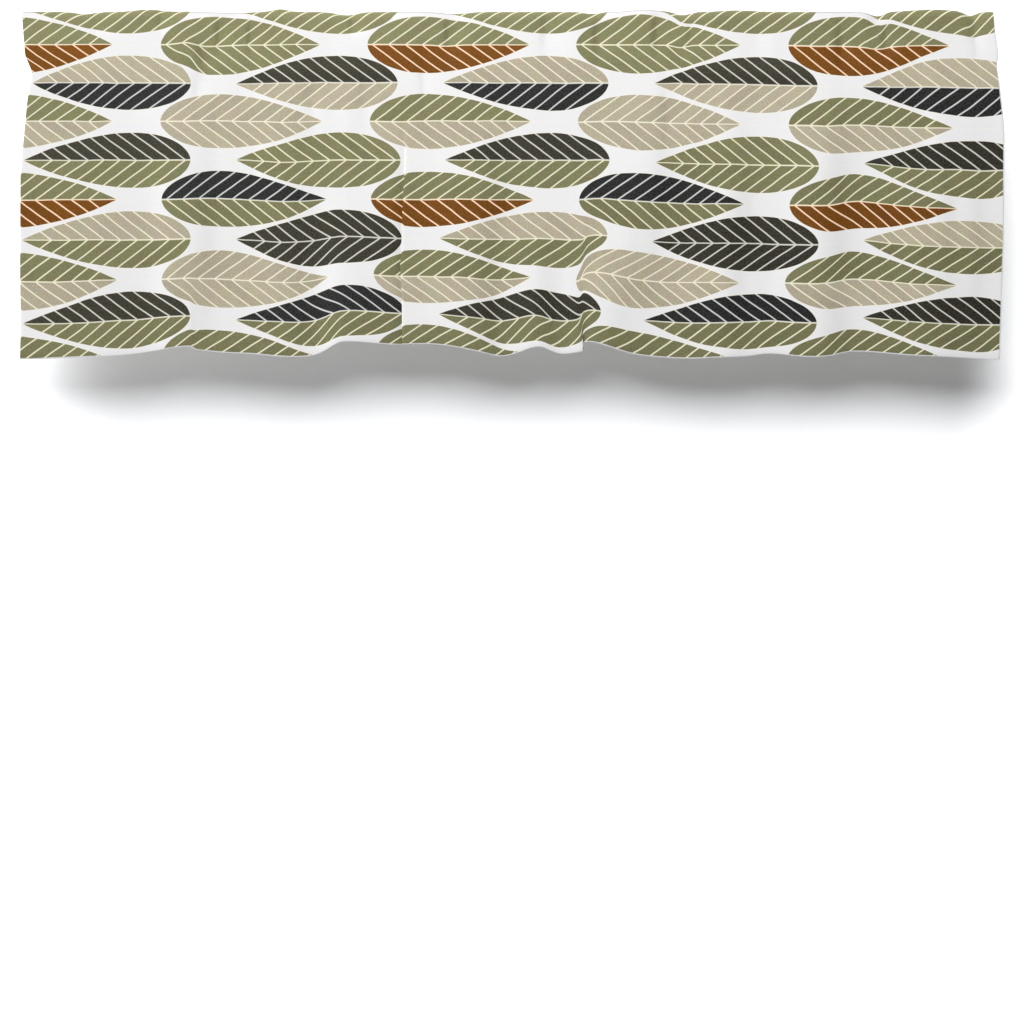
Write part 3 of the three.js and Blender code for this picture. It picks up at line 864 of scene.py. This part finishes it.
def fabric_places(nodes):
    """Flat place on the cloth, in metres, with the small drift that a woven print has."""
    flat = nodes.add("ShaderNodeUVMap", {}, uv_map="ClothFlat").outputs["UV"]
    drift = nodes.add("ShaderNodeTexNoise", {"Vector": flat, "Scale": DRIFT_SCALE, "Detail": 4.0})
    centred = nodes.add(
        "ShaderNodeVectorMath", {0: drift.outputs["Color"], 1: (0.5, 0.5, 0.5)},
        operation="SUBTRACT",
    )
    moved = nodes.add(
        "ShaderNodeVectorMath", {0: centred.outputs[0], 1: (DRIFT, DRIFT, 0), 2: flat},
        operation="MULTIPLY_ADD",
    )
    places = nodes.add("ShaderNodeSeparateXYZ", {"Vector": moved.outputs[0]})
    s, t = places.outputs["X"], places.outputs["Y"]
    low = nodes.smooth_range(t, LOW_FROM, LOW_TO, 1.0)
    pulls = [nodes.smooth_range(s, *draw) for draw in (RIGHT_DRAW, LEFT_DRAW)]
    pulls.append(nodes.math("MULTIPLY", nodes.smooth_range(s, *LOW_RIGHT_DRAW), low))
    for pull in pulls:
        s = nodes.math("SUBTRACT", s, pull)
    return flat, s, t


def weave_height(nodes, flat):
    """Plain weave: threads that go over and under each other, from -1 to 1."""
    places = nodes.add("ShaderNodeSeparateXYZ", {"Vector": flat})
    turns = 2 * math.pi / THREAD_SPACING
    warp = nodes.math("SINE", nodes.math("MULTIPLY", places.outputs["X"], turns))
    weft = nodes.math("SINE", nodes.math("MULTIPLY", places.outputs["Y"], turns))
    return nodes.math("MULTIPLY", warp, weft)


def slub(nodes, flat):
    """Uneven threads: long thin streaks both ways, from 0 to 1."""
    along, across = SLUB_SCALES
    streaks = []
    for scale in ((along, across, 1.0), (across, along, 1.0)):
        stretched = nodes.add("ShaderNodeVectorMath", {0: flat, 1: scale}, operation="MULTIPLY")
        noise = nodes.add(
            "ShaderNodeTexNoise", {"Vector": stretched.outputs[0], "Scale": 1.0, "Detail": 1.0}
        )
        streaks.append(noise.outputs["Fac"])
    return nodes.math("MULTIPLY", nodes.math("ADD", *streaks), 0.5)


def cloth_material(name, printed):
    """Printed side, with a painted highlight along its right side's and hem's folds, or the paler
    plain side where the print only shows through.
    """
    material = bpy.data.materials.new(name)
    material.use_nodes = True
    nodes = Nodes(material)
    shader = material.node_tree.nodes["Principled BSDF"]
    flat, s, t = fabric_places(nodes)
    colour = printed_colour(nodes, flat, s, t)
    if printed:
        places = nodes.add("ShaderNodeSeparateXYZ", {"Vector": flat})
        beside = nodes.math("SUBTRACT", HALF_WIDTH * MM, places.outputs["X"])
        below = nodes.math("SUBTRACT", HEM * MM, places.outputs["Y"])
        edge = nodes.math("ABSOLUTE", nodes.math("MINIMUM", beside, below))
        # Painted highlight: a thin pale line where the print gives way to the ground along the
        # folds.
        edge_highlight = nodes.soft_step(nodes.math("SUBTRACT", EDGE_PAINTED_HIGHLIGHT, edge), 2 * PRINT_SOFTNESS)
        colour = nodes.mix(edge_highlight, colour, GROUND)
    else:
        colour = nodes.mix(SHOWS_THROUGH, PLAIN_SIDE, colour)
    streaks = slub(nodes, flat)
    tone = nodes.math("MULTIPLY_ADD", streaks, SLUB_TONE, 1 - SLUB_TONE / 2)
    colour = nodes.mix(1.0, colour, grey(nodes, tone), "MULTIPLY")
    nodes.feed(shader.inputs["Base Color"], colour)
    shader.inputs["Roughness"].default_value = 0.5
    shader.inputs["Specular IOR Level"].default_value = 0.12
    shader.inputs["Sheen Weight"].default_value = 0.02
    shader.inputs["Sheen Roughness"].default_value = 0.5
    height = nodes.math("MULTIPLY_ADD", streaks, SLUB_HEIGHT, weave_height(nodes, flat))
    bump = nodes.add(
        "ShaderNodeBump", {"Height": height, "Strength": 0.25, "Distance": WEAVE_DEPTH}
    )
    nodes.feed(shader.inputs["Normal"], bump.outputs["Normal"])
    return material


def thread_material():
    """Off-white sewing thread, with the slanted ridges of its twist and painted shade in its
    grooves.
    """
    material = bpy.data.materials.new("sewing_thread")
    material.use_nodes = True
    nodes = Nodes(material)
    shader = material.node_tree.nodes["Principled BSDF"]
    twist = nodes.add("ShaderNodeUVMap", {}, uv_map="ThreadTwist").outputs["UV"]
    places = nodes.add("ShaderNodeSeparateXYZ", {"Vector": twist})
    turns = nodes.math("MULTIPLY_ADD", places.outputs["X"], THREAD_TURNS, places.outputs["Y"])
    ridge = nodes.math("SINE", nodes.math("MULTIPLY", turns, 2 * math.pi))
    # Painted shade: the thread is darker where the twist's ridge is low.
    tone = nodes.math("MULTIPLY_ADD", ridge, TWIST_GROOVE_SHADE, 1 - TWIST_GROOVE_SHADE)
    nodes.feed(shader.inputs["Base Color"], nodes.mix(1.0, THREAD, grey(nodes, tone), "MULTIPLY"))
    shader.inputs["Roughness"].default_value = 0.6
    shader.inputs["Specular IOR Level"].default_value = 0.2
    bump = nodes.add("ShaderNodeBump", {"Height": ridge, "Strength": 0.4, "Distance": TWIST_DEPTH})
    nodes.feed(shader.inputs["Normal"], bump.outputs["Normal"])
    return material


def plain_material(name, colour, roughness):
    material = bpy.data.materials.new(name)
    material.use_nodes = True
    shader = material.node_tree.nodes["Principled BSDF"]
    shader.inputs["Base Color"].default_value = colour
    shader.inputs["Roughness"].default_value = roughness
    shader.inputs["Specular IOR Level"].default_value = 0.1
    return material


# ---- Stage ----
FRAME_SIDE = 1.3568  # metres of scene that the picture is wide and high
FRAME_CENTRE_Z = -0.6625
CAMERA_DISTANCE = 6.0
WALL_Y = 0.09
FLOOR_Z = -1.46
STAGE_REACH = 6.0
SKY_LIGHT = 0.2
SKY_SEEN = 0.95
WALL_WHITE = (0.80, 0.81, 0.83, 1.0)
FLOOR_PALE = (0.62, 0.62, 0.62, 1.0)


def make_camera():
    data = bpy.data.cameras.new("front_camera")
    data.sensor_width = 36.0
    data.lens = data.sensor_width * CAMERA_DISTANCE / FRAME_SIDE
    data.clip_end = 60.0
    camera = bpy.data.objects.new("front_camera", data)
    camera.location = (0, -CAMERA_DISTANCE, FRAME_CENTRE_Z)
    camera.rotation_euler = (math.pi / 2, 0, 0)
    bpy.context.scene.collection.objects.link(camera)
    bpy.context.scene.camera = camera


def aim(obj, towards):
    obj.rotation_euler = Vector(towards).to_track_quat("-Z", "Y").to_euler()
    bpy.context.scene.collection.objects.link(obj)


def make_sun(name, towards, strength, angle, receivers):
    """A sun that many degrees wide, which shines along `towards` on those receivers only."""
    data = bpy.data.lights.new(name, "SUN")
    data.energy = strength
    data.angle = math.radians(angle)
    light = bpy.data.objects.new(name, data)
    light.light_linking.receiver_collection = receivers
    aim(light, towards)


def make_softbox(name, place, target, power, side, receivers):
    """A square lamp of that side and power, at a place, turned to a target."""
    data = bpy.data.lights.new(name, "AREA")
    data.shape = "SQUARE"
    data.size = side
    data.energy = power
    light = bpy.data.objects.new(name, data)
    light.location = place
    light.light_linking.receiver_collection = receivers
    aim(light, Vector(target) - Vector(place))


def collection_of(name, objects):
    made = bpy.data.collections.new(name)
    for obj in objects:
        made.objects.link(obj)
    return made


def plane(name, corners, material):
    obj = mesh_object(name, np.array(corners) / MM, [[0, 1, 2, 3]], [material])
    return obj


def wall_material():
    """White in front, and clear from behind, so that the valance's back can be looked at."""
    material = plain_material("wall_white", WALL_WHITE, 0.9)
    nodes = Nodes(material)
    behind = nodes.add("ShaderNodeNewGeometry", {}).outputs["Backfacing"]
    clear = nodes.add("ShaderNodeBsdfTransparent", {})
    shader = material.node_tree.nodes["Principled BSDF"]
    output = material.node_tree.nodes["Material Output"]
    both = nodes.add("ShaderNodeMixShader", {0: behind})
    nodes.feed(both.inputs[1], shader.outputs[0])
    nodes.feed(both.inputs[2], clear.outputs[0])
    nodes.feed(output.inputs["Surface"], both.outputs[0])
    return material


def make_stage():
    reach = STAGE_REACH
    wall = plane(
        "backdrop_wall",
        [(-reach, WALL_Y, FLOOR_Z), (reach, WALL_Y, FLOOR_Z),
         (reach, WALL_Y, reach), (-reach, WALL_Y, reach)],
        wall_material(),
    )
    wall.visible_shadow = False
    floor = plane(
        "studio_floor",
        [(-reach, -reach, FLOOR_Z), (reach, -reach, FLOOR_Z),
         (reach, reach, FLOOR_Z), (-reach, reach, FLOOR_Z)],
        plain_material("floor_pale", FLOOR_PALE, 0.8),
    )
    floor.visible_diffuse = False
    return [wall, floor]


def make_lights(stage, cloth):
    on_stage = collection_of("lit_as_stage", stage)
    on_cloth = collection_of("lit_as_cloth", cloth)
    low = (0, WALL_Y, -DROP * MM)
    middle = (0, 0, -DROP / 2 * MM)
    low_left = (-0.5, 0, -DROP * MM)
    make_sun("wall_light", (0.27, 1.0, -1.06), 7.7, 58, on_stage)
    make_softbox("low_light", (-1.5, -0.7, -0.9), low, 5.3, 0.8, on_stage)
    make_softbox("under_light", (-0.04, -0.35, -0.95), low, 0.24, 0.4, on_stage)
    make_sun("back_light", (0.3, -1.0, -0.5), 1.0, 40, on_cloth)
    make_sun("side_light", (1.0, 0.75, -0.5), 1.93, 20, on_cloth)
    make_softbox("key_light", (-0.2, -2.2, 1.3), middle, 46.5, 0.8, on_cloth)
    make_softbox("low_fill", (-0.9, -0.7, -1.0), low_left, 0.75, 0.6, on_cloth)


def make_sky():
    """An even white sky, seen brighter than the light it gives. Colours are shown as they are."""
    world = bpy.data.worlds.new("studio")
    world.use_nodes = True
    nodes = Nodes(world)
    seen = nodes.add("ShaderNodeLightPath", {}).outputs["Is Camera Ray"]
    strength = nodes.math("MULTIPLY_ADD", seen, SKY_SEEN - SKY_LIGHT, SKY_LIGHT)
    background = world.node_tree.nodes["Background"]
    background.inputs["Color"].default_value = (1.0, 1.0, 1.0, 1.0)
    nodes.feed(background.inputs["Strength"], strength)
    bpy.context.scene.world = world
    bpy.context.scene.view_settings.view_transform = "Standard"
    bpy.context.scene.view_settings.look = "None"


make_camera()
sheet = cloth_sheet([cloth_material("printed_face", True), cloth_material("plain_back", False)])
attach(sheet, "root")
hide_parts("valance_cloth")
thread = stitching(thread_material())
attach(thread, "root")

make_lights(make_stage(), [sheet, thread])
make_sky()
